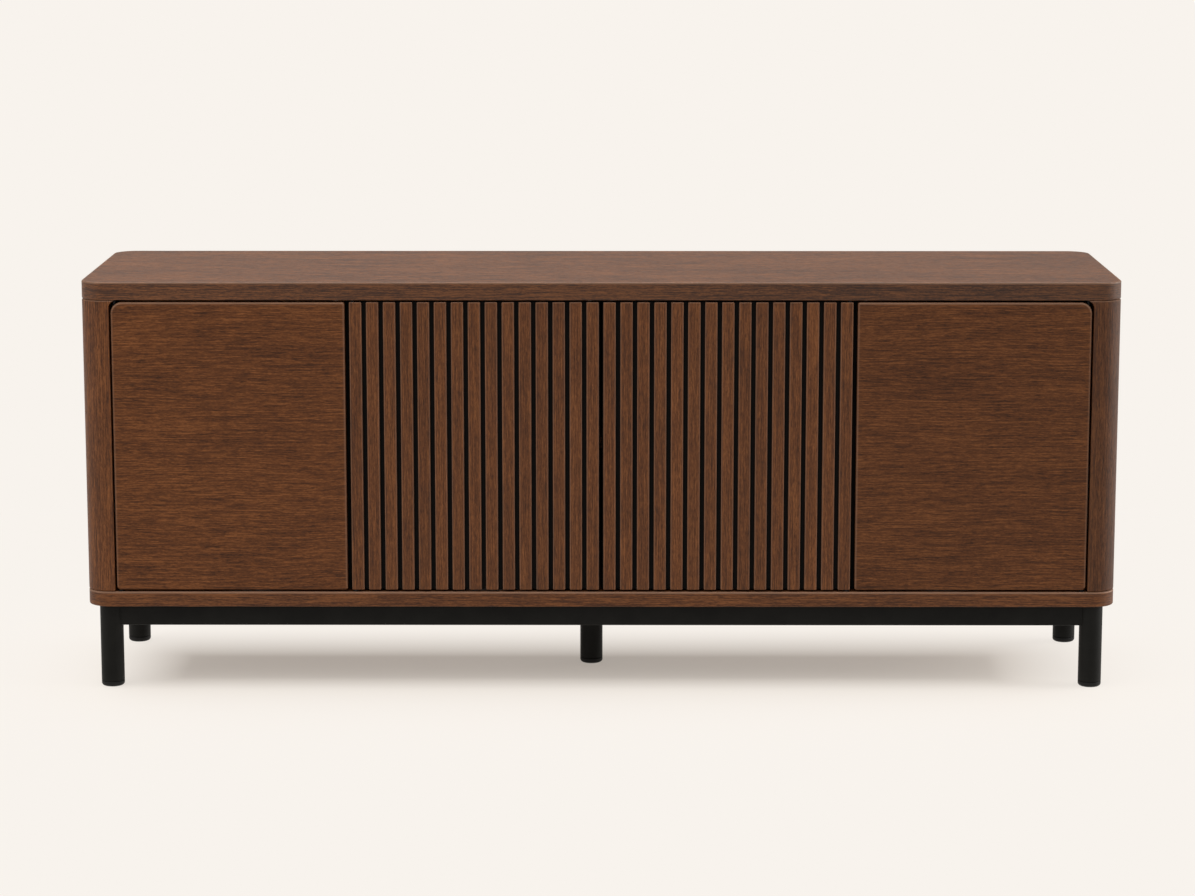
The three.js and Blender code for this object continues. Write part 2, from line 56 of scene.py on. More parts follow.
def rounded_outline(low, high, radii, steps=10):
    """A rectangle from low to high with a quarter circle at each corner, counter-clockwise
    from the high corner. Returns, for each point of it, its corner of the rectangle, the
    signs that point to that corner, its radius, and its direction (cos t, sin t), where t
    runs a quarter turn at each corner."""
    signs = np.array([[1, 1], [-1, 1], [-1, -1], [1, -1]], float)
    corners = np.where(signs > 0, high, low)
    t = np.radians(90) * (np.arange(4)[:, None] + np.linspace(0, 1, steps + 1)).reshape(-1, 1)
    each = steps + 1
    return (np.repeat(corners, each, axis=0), np.repeat(signs, each, axis=0),
            np.repeat(np.asarray(radii, float), each)[:, None], np.hstack([np.cos(t), np.sin(t)]))


def drawn_in(outline, inset=0.0):
    """The outline's points drawn in by inset. The radius shrinks by it, down to almost a sharp
    corner: point = corner - sign * (inset + radius) + direction * radius."""
    corners, signs, radii, directions = outline
    radius = np.maximum(radii - inset, SHARPEST)
    return corners - signs * (inset + radius) + directions * radius


def eased_profile(thickness, low_ease, high_ease, steps=5):
    """The section of a board's edge as (inset, height) pairs. Each edge is a quarter circle,
    inset = ease * (1 - sin t) and height = ease * (1 - cos t), with a close ring on each
    side of it that keeps the flat faces flat."""
    t = np.linspace(0, np.pi / 2, steps + 1)
    low = np.stack([low_ease * (1 - np.sin(t)), low_ease * (1 - np.cos(t))], axis=1)
    high = np.stack([high_ease * (1 - np.cos(t)), thickness - high_ease * (1 - np.sin(t))], axis=1)
    keep_low = [low_ease + SUPPORT, 0], [0, low_ease + SUPPORT]
    keep_high = [0, thickness - high_ease - SUPPORT], [high_ease + SUPPORT, thickness]
    return np.concatenate([[keep_low[0]], low, [keep_low[1]], [keep_high[0]], high, [keep_high[1]]])


def carried(outline, profile):
    """The profile of (inset, height) carried round the outline."""
    plan = drawn_in(outline, profile[:, None, :1])
    height = np.broadcast_to(profile[:, 1][:, None, None], plan.shape[:2] + (1,))
    return np.concatenate([plan, height], axis=2)


def lying(rings, z=0.0):
    """The outline lies in x and y, and the height rises from z."""
    return rings + [0, 0, z]


def shell(name, rings, hollow=False):
    """A closed surface through rings of points, rings x points x 3. Point j of a ring joins
    point j + 1 and the same two of the next ring. The first and last rings are filled, or
    joined to each other if the shape is hollow like a tyre. rings may hold several such
    shapes, one after another, in a leading axis."""
    shapes = np.asarray(rings, float)
    if shapes.ndim == 3:
        shapes = shapes[None]
    count, levels, around, _ = shapes.shape
    index = np.arange(count * levels * around).reshape(count, levels, around)
    here = index if hollow else index[:, :-1]
    above = np.roll(index, -1, axis=1) if hollow else index[:, 1:]
    quads = np.stack([here, np.roll(here, -1, axis=2), np.roll(above, -1, axis=2), above], axis=-1)
    faces = quads.reshape(-1, 4).tolist()
    if not hollow:
        faces += index[:, 0, ::-1].tolist() + index[:, -1].tolist()
    mesh = bpy.data.meshes.new(name)
    mesh.from_pydata(shapes.reshape(-1, 3), [], faces)
    mesh.polygons.foreach_set("use_smooth", np.ones(len(faces), bool))
    mesh.set_sharp_from_angle(angle=np.radians(40))
    piece = bpy.data.objects.new(name, mesh)
    bpy.context.scene.collection.objects.link(piece)
    return piece


def finish_piece(piece, material, slot, body, *nodes):
    """Gives the piece its material, rides it on its body, and hides the CAD nodes
    that it stands for. The slot argument is not used."""
    piece.data.materials.append(material)
    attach(piece, body)
    if nodes:
        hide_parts(*nodes)
    return piece


def add_node(tree, kind, inputs=(), **settings):
    """Adds a shader node. Each input is a value or another node's output."""
    made = tree.nodes.new("ShaderNode" + kind)
    for key, value in settings.items():
        setattr(made, key, value)
    for key, value in dict(inputs).items():
        if isinstance(value, bpy.types.NodeSocket):
            tree.links.new(value, made.inputs[key])
        else:
            made.inputs[key].default_value = value
    return made


def start_material(name):
    """A new material, with its node tree and its surface shader."""
    material = bpy.data.materials.new(name)
    material.use_nodes = True
    return material, material.node_tree, material.node_tree.nodes["Principled BSDF"]


def arithmetic(tree, operation, *values):
    """The output of one arithmetic node."""
    return add_node(tree, "Math", dict(enumerate(values)), operation=operation).outputs[0]


def vector_math(tree, operation, *values):
    """The output of one vector node."""
    return add_node(tree, "VectorMath", dict(enumerate(values)), operation=operation).outputs[0]


def stretched_noise(tree, place, along, across, detail, roughness=0.55):
    """Noise drawn out along the grain: along and across are its cells in a metre."""
    drawn_out = vector_math(tree, "MULTIPLY", place, (along, across, across))
    return add_node(tree, "TexNoise", {"Vector": drawn_out, "Scale": 1.0, "Detail": detail,
                                       "Roughness": roughness}).outputs["Fac"]


def spread(tree, value, low, high, to_low=0.0, to_high=1.0):
    """Stretches the middle of a noise's range to the given limits."""
    limits = {"From Min": low, "From Max": high, "To Min": to_low, "To Max": to_high}
    return add_node(tree, "MapRange", {"Value": value, **limits}).outputs[0]


def scaled(tree, value, factor):
    """A colour or a vector times one number."""
    return add_node(tree, "VectorMath", {0: value, "Scale": factor}, operation="SCALE").outputs[0]


GRAIN_STEP = (0.37, 0.11, 0.23)
GRAIN_TURN = {"x": (0, 0, 0), "y": (0, 0, -np.pi / 2), "z": (0, np.pi / 2, 0)}
WALNUT_DARK = (0.0430, 0.0130, 0.0031, 1)
WALNUT_MID = (0.103, 0.0322, 0.0073, 1)
WALNUT_LIGHT = (0.186, 0.0650, 0.0175, 1)
DARK_REACH = 0.225
LIGHT_REACH = 0.235
PORE_DARKENS = 0.30
FLECK_LIGHTENS = 0.13
# pale colour mixed in along arrises as a painted highlight
WALNUT_HIGHLIGHT = (0.260, 0.150, 0.098, 1)


def walnut(name, grain, shift, tone, gloss=0.46, wander=1.0, contrast=1.0, specular=0.25,
           wrapped=False):
    """Dark-stained walnut veneer under a satin lacquer. Broad tone, growth bands, fine
    streaks, short open pores and pale flecks are layers of noise drawn out along the grain,
    which a slow warp keeps from running dead straight. wrapped reads the piece's own map, so
    that the grain follows its edge. A piece may carry three numbers at its points: grain_shift
    moves the grain, tone_and_shade_shift lightens or darkens it, as the wood's own tone or as
    painted shade, and rubbed mixes in a pale painted highlight along an arris."""
    material, tree, surface = start_material(name)
    source = add_node(tree, "TexCoord").outputs["UV" if wrapped else "Object"]
    turn = (0, 0, 0) if wrapped else GRAIN_TURN[grain]
    place = add_node(tree, "Mapping", {"Vector": source, "Location": shift,
                                       "Rotation": turn}).outputs[0]
    moved = add_node(tree, "Attribute", attribute_name="grain_shift").outputs["Fac"]
    apart = scaled(tree, GRAIN_STEP, moved)
    place = vector_math(tree, "ADD", place, apart)

    for cells, reach in (((4, 9, 9), 0.013 * wander), ((14, 30, 30), 0.0014 * wander)):
        slow = vector_math(tree, "MULTIPLY", place, cells)
        drift = add_node(tree, "TexNoise", {"Vector": slow, "Scale": 1.0, "Detail": 2.0})
        centred = vector_math(tree, "SUBTRACT", drift.outputs["Color"], (0.5, 0.5, 0.5))
        place = vector_math(tree, "MULTIPLY_ADD", centred, (0, reach, reach), place)

    broad = spread(tree, stretched_noise(tree, place, 2.2, 11, 2.0), 0.3, 0.7)
    bands = spread(tree, stretched_noise(tree, place, 8, 62, 2.0), 0.3, 0.7)
    lines = spread(tree, stretched_noise(tree, place, 12, 520, 1.0), 0.27, 0.73)
    streaks = spread(tree, stretched_noise(tree, place, 58, 560, 3.0, 0.65), 0.25, 0.75)
    fine = spread(tree, stretched_noise(tree, place, 210, 700, 2.0), 0.3, 0.7)
    dashes = stretched_noise(tree, place, 88, 640, 1.0)
    pores = spread(tree, dashes, 0.585, 0.66)
    flecks = spread(tree, dashes, 0.42, 0.34)

    mixed = arithmetic(tree, "MULTIPLY", broad, 0.08)
    for layer, share in ((bands, 0.08), (lines, 0.28), (streaks, 0.38), (fine, 0.18)):
        mixed = arithmetic(tree, "MULTIPLY_ADD", layer, share, mixed)
    ramp = add_node(tree, "ValToRGB", {"Fac": mixed})
    ramp.color_ramp.elements[0].position = 0.5 - DARK_REACH / contrast
    ramp.color_ramp.elements[0].color = WALNUT_DARK
    ramp.color_ramp.elements[1].position = 0.5 + LIGHT_REACH / contrast
    ramp.color_ramp.elements[1].color = WALNUT_LIGHT
    middle = ramp.color_ramp.elements.new(0.5)
    middle.color = WALNUT_MID
    shade = arithmetic(tree, "MULTIPLY_ADD", pores, -PORE_DARKENS * tone, tone)
    shade = arithmetic(tree, "MULTIPLY_ADD", flecks, FLECK_LIGHTENS * tone, shade)
    # a per-point shift: each slat's own tone, and painted shade on the top and bottom panels
    tone_and_shade = add_node(tree, "Attribute", attribute_name="tone_and_shade_shift").outputs["Fac"]
    shade = arithmetic(tree, "MULTIPLY_ADD", shade, tone_and_shade, shade)
    colour = scaled(tree, ramp.outputs["Color"], shade)
    # a pale painted highlight mixed in along the arrises that a piece marks
    painted_highlight = add_node(tree, "Attribute", attribute_name="painted_highlight").outputs["Fac"]
    edge_highlight = add_node(tree, "Mix", {"Factor": painted_highlight, "A": colour, "B": WALNUT_HIGHLIGHT},
                    data_type="RGBA")
    tree.links.new(edge_highlight.outputs["Result"], surface.inputs["Base Color"])

    raised = arithmetic(tree, "MULTIPLY", streaks, 0.35)
    relief = arithmetic(tree, "MULTIPLY_ADD", pores, -0.8, raised)
    bump = add_node(tree, "Bump", {"Height": relief, "Strength": 0.35, "Distance": 0.00035})
    tree.links.new(bump.outputs[0], surface.inputs["Normal"])
    open_grain = arithmetic(tree, "MULTIPLY_ADD", pores, 0.15, gloss - 0.05)
    rough = arithmetic(tree, "MULTIPLY_ADD", fine, 0.10, open_grain)
    tree.links.new(rough, surface.inputs["Roughness"])
    surface.inputs["Specular IOR Level"].default_value = specular
    return material


def mark(piece, name, values):
    """Writes one number a point, for the piece's material to read."""
    layer = piece.data.attributes.new(name, "FLOAT", "POINT")
    layer.data.foreach_set("value", np.ravel(values).astype(float))


def wrap_grain(piece, outline, rings):
    """Lays the piece's map in metres: over the flat faces it is (x, y), and round the edge it
    is (distance along the outline, height), with distance equal to x along the front."""
    points = drawn_in(outline)
    levels, around, _ = rings.shape
    steps = np.linalg.norm(np.roll(points, -1, axis=0) - points, axis=1)
    distance = np.concatenate([[0], np.cumsum(steps)])
    front = np.argmin(points[:, 1] + points[:, 0] * 1e-3)
    distance += points[front, 0] - distance[front]
    j = np.arange(around)
    along = np.stack([distance[j], distance[j + 1], distance[j + 1], distance[j]], axis=-1)
    height = rings[:, 0, 2] * BAND_FINENESS
    across = np.stack([height[:-1], height[:-1], height[1:], height[1:]], axis=-1)
    edge = np.stack(np.broadcast_arrays(along[None], across[:, None]), axis=-1)
    flat = np.concatenate([rings[0, ::-1, :2], rings[-1, :, :2]])
    layer = piece.data.uv_layers.new(name="grain")
    layer.data.foreach_set("uv", np.concatenate([edge.reshape(-1, 2), flat]).ravel())


CORNER_RADIUS = 0.035
FACE_SHADE_SLOPE = -0.05


def case_panel(name, node, material, band_shade, band_shade_slope, edge_highlight):
    """A top or bottom panel: its plan outline with the eased edge carried round it. The edge
    band is darkened by painted shade, band_shade + band_shade_slope * x, and its upper arris
    carries a painted highlight. Painted shade also darkens the faces a little towards +x."""
    low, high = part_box(node)
    outline = rounded_outline(low[:2], high[:2], [CORNER_RADIUS] * 4, steps=16)
    profile = eased_profile(high[2] - low[2], EASE, EASE)
    rings = lying(carried(outline, profile), low[2])
    panel = shell(name, rings)
    wrap_grain(panel, outline, rings)
    levels = np.arange(len(profile))[:, None]
    half = len(profile) // 2
    banded = (levels > 0) & (levels < len(profile) - 2)
    along = rings[..., 0]
    # painted shade: the edge band darker, more so towards +x, and the faces a little darker towards
    # +x
    painted_shade = np.where(banded, band_shade + band_shade_slope * along, FACE_SHADE_SLOPE * along)
    mark(panel, "tone_and_shade_shift", painted_shade)
    # a painted highlight along the upper arris
    arris = (levels > half) & (levels < len(profile) - 1)
    mark(panel, "painted_highlight", edge_highlight * arris * np.ones(rings.shape[1]))
    return finish_piece(panel, material, "walnut", "root", node)


# The top's edge band carries painted shade, darkest at the right-hand end, and its upper arris a
# painted highlight.
case_panel("top_board", "top_panel",
           walnut("walnut_top", "x", (0.3, 0.2, 0), 0.96, contrast=2.1, specular=0.36,
                  wrapped=True),
           band_shade=-0.28, band_shade_slope=-0.20, edge_highlight=0.42)

# ---- Bottom panel --------------------------------------------------------------------
# A thinner board of the same plan, which carries the posts, the dividers and the lower
# pivot pins. Its upper edge is eased enough to catch the light under the doors.

# Its edge band carries a little painted shade, and its upper arris a painted highlight.
case_panel("bottom_board", "bottom_panel",
           walnut("walnut_bottom", "x", (4.1, 1.7, 0), 0.92, contrast=1.5, wrapped=True),
           band_shade=-0.07, band_shade_slope=-0.05, edge_highlight=0.62)

# ---- Corner posts --------------------------------------------------------------------
# Four solid walnut posts with their grain upright and their outer corner turned to the
# plan radius of the top. A fine chamfer at each end makes a V seam against the panels, and
# the front posts widen at the head in a hollow fillet.

POST_CHAMFER = 0.0016
POST_ARRIS = 0.0012
FILLET = 0.012
PLAIN_HEAD = 0.02
HEAD_HIGHLIGHT = 0.4


def corner_post(name, node, side, end, material):
    """A post whose plan outline is carried up it. Under the top, a front post's inner face
    moves out by fillet * (1 - cos t) as the height climbs fillet * sin t."""
    low, high = (np.array(corner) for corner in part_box(node))
    has_fillet = end < 0
    if has_fillet:
        if side < 0:
            high[0] -= FILLET
        else:
            low[0] += FILLET
    places = [(1, 1), (-1, 1), (-1, -1), (1, -1)]
    radii = [CORNER_RADIUS if place == (side, end) else POST_ARRIS for place in places]
    outline = rounded_outline(low[:2], high[:2], radii, steps=14)
    inner = outline[1][:, 0] == -side
    t = np.linspace(0, np.pi / 2, 15) if has_fillet else np.array([np.pi / 2])
    reach = FILLET if has_fillet else 0
    head = high[2] - reach + reach * np.sin(t)
    widen = reach * (1 - np.cos(t))
    below = np.array([low[2], low[2] + POST_CHAMFER, low[2] + 2 * POST_CHAMFER,
                      high[2] - PLAIN_HEAD])
    level = np.concatenate([below, head, [high[2] - POST_CHAMFER]])
    at_chamfer = np.interp(high[2] - POST_CHAMFER, head, widen)
    widening = np.concatenate([np.zeros(len(below)), widen, [at_chamfer]])
    order = np.argsort(level, kind="stable")
    level, widening = level[order], widening[order]
    chamfer = POST_CHAMFER - np.minimum(level - low[2], high[2] - level)
    plan = drawn_in(outline, np.clip(chamfer, 0, None)[:, None, None])
    plan[..., 0] += -side * widening[:, None] * inner
    height = np.broadcast_to(level[:, None, None], plan.shape[:2] + (1,))
    rings = np.concatenate([plan, height], axis=2)
    post = shell(name, rings)
    # a painted highlight along the chamfer at the head
    at_head = level > high[2] - POST_CHAMFER - SHARPEST
    mark(post, "painted_highlight", HEAD_HIGHLIGHT * at_head[:, None] * np.ones(plan.shape[1]))
    return finish_piece(post, material, "walnut", "root", node)


# The right-hand posts are set much darker than the left: painted shade, as if lit from the left.
for side_name, side, tone in (("left", -1, 1.07), ("right", 1, 0.58)):
    post_walnut = walnut(f"walnut_posts_{side_name}", "z", (0.9 + side, 0.4, 0.7), tone, wander=0.4)
    for end_name, end in (("front", -1), ("rear", 1)):
        corner_post(f"{end_name}_corner_post_{side_name}", f"{end_name}_post_{side_name}",
                    side, end, post_walnut)

# ---- Side panels ---------------------------------------------------------------------
# Veneered boards set flush between the posts, grain upright like theirs. Their edges are
# only just broken, so the joint shows as a hairline.


def board(name, low, high, ease=0.0006):
    """A plain board between two corners, with every edge eased."""
    low, high = np.asarray(low, float), np.asarray(high, float)
    outline = rounded_outline(low[:2], high[:2], [ease] * 4, steps=4)
    profile = eased_profile(high[2] - low[2], ease, ease, 4)
    return shell(name, lying(carried(outline, profile), low[2]))


# The right side board is set darker than the left: painted shade.
for side_name, shift, tone in (("left", (2.3, 1.1, 0.2), 0.95),
                               ("right", (0.6, 1.9, 1.7), 0.66)):
    side_walnut = walnut(f"walnut_side_{side_name}", "z", shift, tone, wander=0.6)
    node = f"side_panel_{side_name}"
    side_board = board(f"side_board_{side_name}", *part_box(node))
    finish_piece(side_board, side_walnut, "walnut", "root", node)

# ---- Dividers ------------------------------------------------------------------------
# Two boards that part the bays and carry the shelf ends. Their front edge carries a thin
# black strip, a painted shadow, so that the joint between a plain and a slatted door reads dark.

SHADOW_STRIP = 0.0008

inside_upright = walnut("walnut_inside_upright", "z", (5.2, 3.3, 1.4), tone=0.8, gloss=0.55)


def black_board(name):
    """Black-stained fibreboard: near-black with a faint mottle and a dry, matt face."""
    material, tree, surface = start_material(name)
    place = add_node(tree, "TexCoord").outputs["Object"]
    mottle = stretched_noise(tree, place, 140, 140, 4.0, 0.7)
    ramp = add_node(tree, "ValToRGB", {"Fac": mottle})
    ramp.color_ramp.elements[0].color = (0.0026, 0.0022, 0.0020, 1)
    ramp.color_ramp.elements[1].color = (0.0075, 0.0064, 0.0058, 1)
    tree.links.new(ramp.outputs["Color"], surface.inputs["Base Color"])
    tree.links.new(spread(tree, mottle, 0.3, 0.7, 0.72, 0.9), surface.inputs["Roughness"])
    bump = add_node(tree, "Bump", {"Height": mottle, "Strength": 0.2, "Distance": 0.0003})
    tree.links.new(bump.outputs[0], surface.inputs["Normal"])
    surface.inputs["Specular IOR Level"].default_value = 0.15
    return material


stained_black = black_board("stained_black_board")
for side_name in ("left", "right"):
    node = f"divider_{side_name}"
    low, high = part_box(node)
    finish_piece(board(f"divider_board_{side_name}", low, high), inside_upright,
                 "walnut_inside", "root", node)
    # a thin black strip on the front edge: a painted shadow in the joint
    strip = board(f"divider_shadow_strip_{side_name}", (low[0], low[1] - SHADOW_STRIP, low[2]),
                  (high[0], low[1], high[2]), ease=0.0002)
    finish_piece(strip, stained_black, "black_board", "root")

# ---- Shelves -------------------------------------------------------------------------
# Three veneered boards let into grooves in the sides and dividers, with a softened front
# edge. They stop short of the back so that cables can pass.

inside_level = walnut("walnut_inside_level", "x", (3.2, 6.3, 2.4), tone=0.8, gloss=0.55)
for bay in ("left", "centre", "right"):
    node = f"shelf_{bay}"
    finish_piece(board(f"shelf_board_{bay}", *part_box(node), ease=0.0015), inside_level,
                 "walnut_inside", "root", node)

# ---- Back panels ---------------------------------------------------------------------
# Black fibreboard panels screwed on between the rear posts, each bored for one cable port.
# The boards keep the CAD's own shape, and their screws have low domed heads.

SCREW_RADIUS = 0.0042
SCREW_INSET = 0.014
SCREW_MARGIN = 0.03
SCREWS_UP = 4
INNER_SCREWS = 0.11


def circle_rings(profile, sides=40):
    """A profile of (radius, height) turned about an upright axis:
    (radius * cos t, radius * sin t, height)."""
    profile = np.asarray(profile, float)
    t = np.linspace(0, 2 * np.pi, sides, endpoint=False)
    turn = np.stack([np.cos(t), np.sin(t)], axis=1)
    plan = profile[:, None, :1] * turn[None]
    height = np.broadcast_to(profile[:, 1][:, None, None], plan.shape[:2] + (1,))
    return np.concatenate([plan, height], axis=2)


def arc(centre, radius, start, stop, steps=6):
    """Points (radius, height) of a profile's arc about centre, in degrees from +radius."""
    t = np.radians(np.linspace(start, stop, steps + 1))
    return np.stack([centre[0] + radius * np.cos(t), centre[1] + radius * np.sin(t)], axis=1)


def metal(name, colour, roughness, scratch):
    """Bare or plated steel with fine tumbling marks in its gloss."""
    material, tree, surface = start_material(name)
    place = add_node(tree, "TexCoord").outputs["Object"]
    marks = stretched_noise(tree, place, 900, 1400, 3.0)
    cloud = stretched_noise(tree, place, 120, 120, 2.0)
    tint = spread(tree, cloud, 0.3, 0.7, 0.85, 1.1)
    tree.links.new(scaled(tree, colour, tint), surface.inputs["Base Color"])
    tree.links.new(spread(tree, marks, 0.3, 0.7, roughness - scratch, roughness + scratch),
                   surface.inputs["Roughness"])
    surface.inputs["Metallic"].default_value = 1.0
    return material


black_oxide = metal("black_oxide_steel", (0.014, 0.014, 0.015), 0.48, 0.08)

# a low domed head with a small drive recess, as (radius, height) from the panel's face
screw_profile = np.concatenate([
    [[SCREW_RADIUS * 0.98, -0.0006]],
    [[SCREW_RADIUS, 0.0002]],
    arc((0.0, -0.0035), 0.0056, 41, 68, 5),
    [[SCREW_RADIUS * 0.44, 0.0013], [SCREW_RADIUS * 0.36, 0.0004]],
])
screw_rings = circle_rings(screw_profile, 20)

for bay in ("left", "centre", "right"):
    node = f"back_panel_{bay}"
    low, high = (np.array(corner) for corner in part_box(node))
    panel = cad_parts[node]
    panel.data.materials.clear()
    panel.data.materials.append(stained_black)
    heights = np.linspace(low[2] + SCREW_MARGIN, high[2] - SCREW_MARGIN, SCREWS_UP)
    columns = np.array([low[0] + SCREW_INSET, high[0] - SCREW_INSET])
    if bay == "centre":
        columns = np.array([low[0] + SCREW_INSET, -INNER_SCREWS, INNER_SCREWS,
                            high[0] - SCREW_INSET])
    spots = np.stack(np.meshgrid(columns, heights), axis=-1).reshape(-1, 2)
    at_side = np.isin(spots[:, 0], columns[[0, -1]])
    at_end = np.isin(spots[:, 1], heights[[0, -1]])
    spots = spots[at_side | at_end]
    facing = np.stack([-screw_rings[..., 0], screw_rings[..., 2], screw_rings[..., 1]], axis=-1)
    places = np.stack([spots[:, 0], np.full(len(spots), high[1]), spots[:, 1]], axis=1)
    screws = shell(f"back_panel_screws_{bay}", facing[None] + places[:, None, None])
    finish_piece(screws, black_oxide, "pivot_steel", "root")

# ---- Cable grommets ------------------------------------------------------------------
# A moulded black ring pressed into each cable port from behind, with a rolled flange and a
# smooth throat, so that a cable isn't cut by the board's edge.

NYLON = (0.0085, 0.0085, 0.0085 * 0.97)


def moulded_black(name):
    """Black moulded nylon with the fine spark texture of its mould."""
    material, tree, surface = start_material(name)
    place = add_node(tree, "TexCoord").outputs["Object"]
    grit = stretched_noise(tree, place, 1600, 1600, 2.0)
    wear = stretched_noise(tree, place, 60, 60, 3.0)
    tint = spread(tree, wear, 0.3, 0.7, 0.85, 1.25)
    tree.links.new(scaled(tree, NYLON, tint), surface.inputs["Base Color"])
    tree.links.new(spread(tree, grit, 0.3, 0.7, 0.44, 0.58), surface.inputs["Roughness"])
    bump = add_node(tree, "Bump", {"Height": grit, "Strength": 0.25, "Distance": 0.00008})
    tree.links.new(bump.outputs[0], surface.inputs["Normal"])
    surface.inputs["Specular IOR Level"].default_value = 0.15
    return material


black_nylon = moulded_black("black_nylon")
GROMMET_BORE = 0.027
GROMMET_SLEEVE = 0.0305
FLANGE = 0.0025
THROAT_ROLL = 0.0024

for bay in ("left", "centre", "right"):
    node = f"cable_grommet_{bay}"
    low, high = (np.array(corner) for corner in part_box(node))
    middle = (low + high) / 2
    outer, length = (high[0] - low[0]) / 2, high[1] - low[1]
    roll = FLANGE / 2
    # (radius, height) from the inner end of the throat to the flange's face and back
    section = np.concatenate([
        [[GROMMET_BORE + 0.0008, 0.0], [GROMMET_SLEEVE - 0.0006, 0.0]],
        [[GROMMET_SLEEVE, 0.0006], [GROMMET_SLEEVE, length - FLANGE - 0.0004]],
        arc((outer - roll, length - roll), roll, -90, 90, 10),
        arc((GROMMET_BORE + THROAT_ROLL, length - THROAT_ROLL), THROAT_ROLL, 90, 180, 6),
        [[GROMMET_BORE, length - 0.004], [GROMMET_BORE, 0.0008]],
    ])
    rings = circle_rings(section, 72)
    facing = np.stack([-rings[..., 0], rings[..., 2], rings[..., 1]], axis=-1)
    grommet = shell(f"cable_port_ring_{bay}", facing + [middle[0], low[1], middle[2]], hollow=True)
    finish_piece(grommet, black_nylon, "black_nylon", "root", node)

# ---- Plain doors ---------------------------------------------------------------------
# Veneered boards 22 mm thick with the grain running across. The outer top corner is turned
# to follow the post's fillet, and all edges are rolled over so that they catch the light.

DOOR_EASE = 0.0022
DOOR_TOP_RADIUS = 0.0175
DOOR_FOOT_RADIUS = 0.006
DOOR_INNER_RADIUS = 0.0032


def upright(rings, y):
    """The outline stands in x and z, and the height comes forward from y."""
    return np.stack([rings[..., 0], y - rings[..., 2], rings[..., 1]], axis=-1)


def front_highlight(profile, outward):
    """How strong the painted highlight on the front arris is: most where it faces up, less at
    the sides and hardly at all along the foot."""
    levels = np.arange(len(profile))[:, None]
    front = (levels > len(profile) // 2) & (levels < len(profile) - 1)
    return front * (0.24 + 0.38 * np.clip(outward[:, 1], -0.6, 1))


# The right door is set darker than the left: painted shade.
for side_name, side, shift, tone in (("left", -1, (0.0, 0.0, 0.35), 0.98),
                                     ("right", 1, (2.6, 0.3, 1.2), 0.80)):
    node = f"plain_door_{side_name}"
    low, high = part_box(node)
    radii = [DOOR_TOP_RADIUS, DOOR_INNER_RADIUS, DOOR_INNER_RADIUS, DOOR_FOOT_RADIUS]
    if side < 0:
        radii = [DOOR_INNER_RADIUS, DOOR_TOP_RADIUS, DOOR_FOOT_RADIUS, DOOR_INNER_RADIUS]
    outline = rounded_outline((low[0], low[2]), (high[0], high[2]), radii, steps=12)
    profile = eased_profile(high[1] - low[1], 0.001, DOOR_EASE, 6)
    door = shell(f"plain_door_board_{side_name}", upright(carried(outline, profile), high[1]))
    # a painted highlight along the front arris
    mark(door, "painted_highlight", front_highlight(profile, outline[3]))
    door_walnut = walnut(f"walnut_door_{side_name}", "x", shift, tone, specular=0.2)
    finish_piece(door, door_walnut, "walnut", node, node)

# ---- Slatted doors -------------------------------------------------------------------
# Fifteen walnut slats a door, glued 7 mm apart to a thin black sheet on a black board.
# Each slat is a separate stick with rolled edges, its own run of grain and its own tone.

SLATS = 15
SLAT_WIDTH = 0.019
SLAT_PITCH = 0.026
SLAT_DEPTH = 0.0088
SLAT_EASE = 0.0019
SLAT_END_EASE = 0.0014
SLAT_HIGHLIGHT = 0.26
SLAT_END_HIGHLIGHT = 0.5

slat_walnut = walnut("walnut_slats", "z", (1.3, 2.7, 0.5), 0.94, contrast=0.85, wander=0.3)
slat_tones = np.random.default_rng(7).uniform(-0.09, 0.04, 2 * SLATS)
first_number = 0
for side_name in ("left", "right"):
    body = f"slat_door_{side_name}"
    node = f"slat_panel_{side_name}"
    low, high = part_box(node)
    for i in range(SLATS):
        x = low[0] + i * SLAT_PITCH
        outline = rounded_outline((x, low[1]), (x + SLAT_WIDTH, low[1] + SLAT_DEPTH),
                                  [0.0004, 0.0004, SLAT_EASE, SLAT_EASE], steps=6)
        profile = eased_profile(high[2] - low[2], SLAT_END_EASE, SLAT_END_EASE, 4)
        slat = shell(f"slat_{side_name}_{i + 1:02d}", lying(carried(outline, profile), low[2]))
        count = len(slat.data.vertices)
        mark(slat, "grain_shift", np.full(count, first_number + i))
        mark(slat, "tone_and_shade_shift", np.full(count, slat_tones[first_number + i]))
        # a painted highlight along the rolled front edges and the ends
        _, signs, _, directions = outline
        front_side = (signs[:, 1] < 0) & (np.abs(directions[:, 0]) > 0.2)
        ends = (profile[:, 0] > 0) & (profile[:, 1] > SLAT_DEPTH)
        mark(slat, "painted_highlight", np.maximum(SLAT_HIGHLIGHT * front_side, SLAT_END_HIGHLIGHT * ends[:, None]))
        finish_piece(slat, slat_walnut, "walnut", body, node)
    first_number += SLATS
    sheet_low = (low[0], low[1] + SLAT_DEPTH, low[2])
    backing = board(f"slat_backing_{side_name}", sheet_low, high, ease=0.0003)
    finish_piece(backing, stained_black, "black_board", body)
    board_node = f"slat_door_board_{side_name}"
    door_board = board(f"slatted_door_board_{side_name}", *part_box(board_node), ease=0.0008)
    finish_piece(door_board, stained_black, "black_board", body, board_node)

# ---- Pivot pins ----------------------------------------------------------------------
# Blackened steel pins pressed into the top and bottom panels. The lower ones have a turned
# collar, which the door rests and turns on.

PIN_RADIUS = 0.0025
PIN_CHAMFER = 0.0005
COLLAR_LOW = 0.0103
COLLAR_HIGH = 0.0127
COLLAR_EASE = 0.0003

